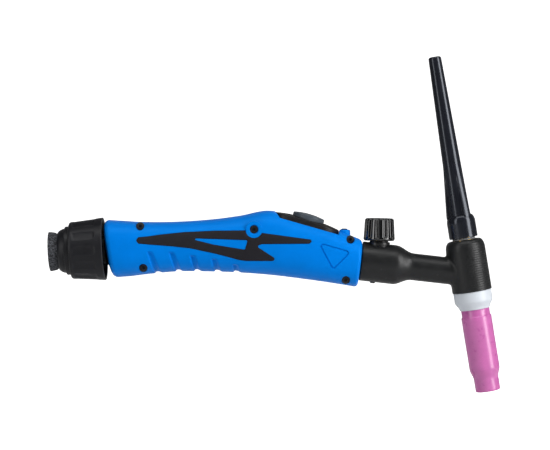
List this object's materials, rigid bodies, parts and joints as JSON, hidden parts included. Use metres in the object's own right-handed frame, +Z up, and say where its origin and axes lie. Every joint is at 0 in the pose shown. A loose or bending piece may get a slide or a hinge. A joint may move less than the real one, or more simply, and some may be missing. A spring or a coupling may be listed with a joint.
{
  "type": "tig welding torch",
  "caption": "Gas-cooled TIG torch with a ceramic nozzle, long back cap, gas valve, two-shell handle with a trigger button, and a swivelling jacketed cable outlet.",
  "frame": {"origin": "the point where the tube's axis meets the head's axis, on the electrode's axis", "axes": "+X runs from the cable to the head along the handle, +Z is up towards the back cap and the trigger, and the torch is nearly mirrored about Y = 0"},
  "size_m": [0.2594, 0.036, 0.193],
  "materials": {
    "handle_plastic": "fine-textured moulded nylon",
    "inlay_rubber": "soft-touch, fine matt",
    "body_rubber": "moulded silicone rubber, satin",
    "cap_phenolic": "polished phenolic",
    "knob_plastic": "glossy moulded nylon",
    "nut_plastic": "moulded nylon, satin",
    "pad_plastic": "moulded nylon, satin",
    "button_plastic": "grey moulded plastic",
    "plunger_plastic": "moulded acetal",
    "liner_plastic": "acetal",
    "gasket_ptfe": "machined PTFE, waxy",
    "nozzle_ceramic": "pink fired alumina",
    "brass": "machined",
    "copper": "drawn copper",
    "steel": "plated steel",
    "screw_steel": "black oxide",
    "seal_rubber": "nitrile rubber",
    "seal_light": "clear silicone rubber",
    "jacket_fabric": "woven nylon sleeve",
    "hose_rubber": "extruded"
  },
  "bodies": {
    "handle": {"body_cover": "body_rubber", "head_core": "brass", "gas_tube": "copper", "valve_block": "brass", "valve_gland": "knob_plastic", "valve_plug": "knob_plastic", "collet_body": "copper", "collet": "copper", "cup_gasket": "gasket_ptfe", "shell_right": "handle_plastic", "shell_left": "handle_plastic", "inlay_right": "inlay_rubber", "inlay_left": "inlay_rubber", "shell_screws": "screw_steel", "trigger_pad": "pad_plastic", "pad_latch": "pad_plastic", "switch_body": "pad_plastic", "power_nipple": "brass", "crimp_ferrule": "steel", "power_hose": "hose_rubber", "conductor": "copper", "control_lead": "hose_rubber"},
    "valve_lift": {"valve_oring": "seal_rubber"},
    "valve": {"valve_stem": "brass", "valve_knob": "knob_plastic"},
    "nozzle_cup": {"nozzle": "nozzle_ceramic"},
    "cap_lift": {"back_cap_oring": "seal_light"},
    "cap": {"back_cap_insert": "brass", "back_cap": "cap_phenolic"},
    "trigger": {"trigger_button": "button_plastic", "switch_plunger": "plunger_plastic"},
    "swivel_yaw": {"swivel_race": "liner_plastic"},
    "swivel_pitch": {"swivel_ball": "nut_plastic"},
    "cable": {"swivel_nut": "nut_plastic", "jacket_ferrule": "nut_plastic", "cable_jacket": "jacket_fabric", "power_hose_tail": "hose_rubber", "conductor_tail": "copper", "control_lead_tail": "hose_rubber"}
  },
  "joints": [
    {"name": "valve_rise", "type": "slide", "parent": "handle", "child": "valve_lift", "axis": [0.0175, 0, 0.9998], "range_m": [0, 0.00112]},
    {"name": "valve_turn", "type": "hinge", "parent": "valve_lift", "child": "valve", "pos_m": [-0.05206, 0, 0.00593], "axis": [0.0175, 0, 0.9998], "range_deg": [0, 540]},
    {"name": "nozzle_off", "type": "slide", "parent": "handle", "child": "nozzle_cup", "axis": [0.1607, 0, -0.987], "range_m": [0, 0.012]},
    {"name": "cap_rise", "type": "slide", "parent": "handle", "child": "cap_lift", "axis": [-0.1607, 0, 0.987], "range_m": [0, 0.00424]},
    {"name": "cap_turn", "type": "hinge", "parent": "cap_lift", "child": "cap", "pos_m": [0, 0, 0], "axis": [-0.1607, 0, 0.987], "range_deg": [0, 1440]},
    {"name": "trigger_press", "type": "slide", "parent": "handle", "child": "trigger", "axis": [-0.2756, 0, -0.9613], "range_m": [0, 0.0015]},
    {"name": "swivel_yaw_turn", "type": "hinge", "parent": "handle", "child": "swivel_yaw", "pos_m": [-0.199, 0, 0.0146], "axis": [-0.0523, 0, 0.9986], "range_deg": [-8, 8]},
    {"name": "swivel_pitch_turn", "type": "hinge", "parent": "swivel_yaw", "child": "swivel_pitch", "pos_m": [-0.199, 0, 0.0146], "axis": [0, 1, 0], "range_deg": [-8, 8]},
    {"name": "cable_spin", "type": "hinge", "parent": "swivel_pitch", "child": "cable", "pos_m": [-0.199, 0, 0.0146], "axis": [0.9986, 0, 0.0523], "range_deg": [-90, 90]}
  ],
  "couplings": [
    {"joint": "valve_turn", "follows": "valve_rise", "rad_per_m": 8377.6},
    {"joint": "cap_turn", "follows": "cap_rise", "rad_per_m": 5927.5}
  ]
}
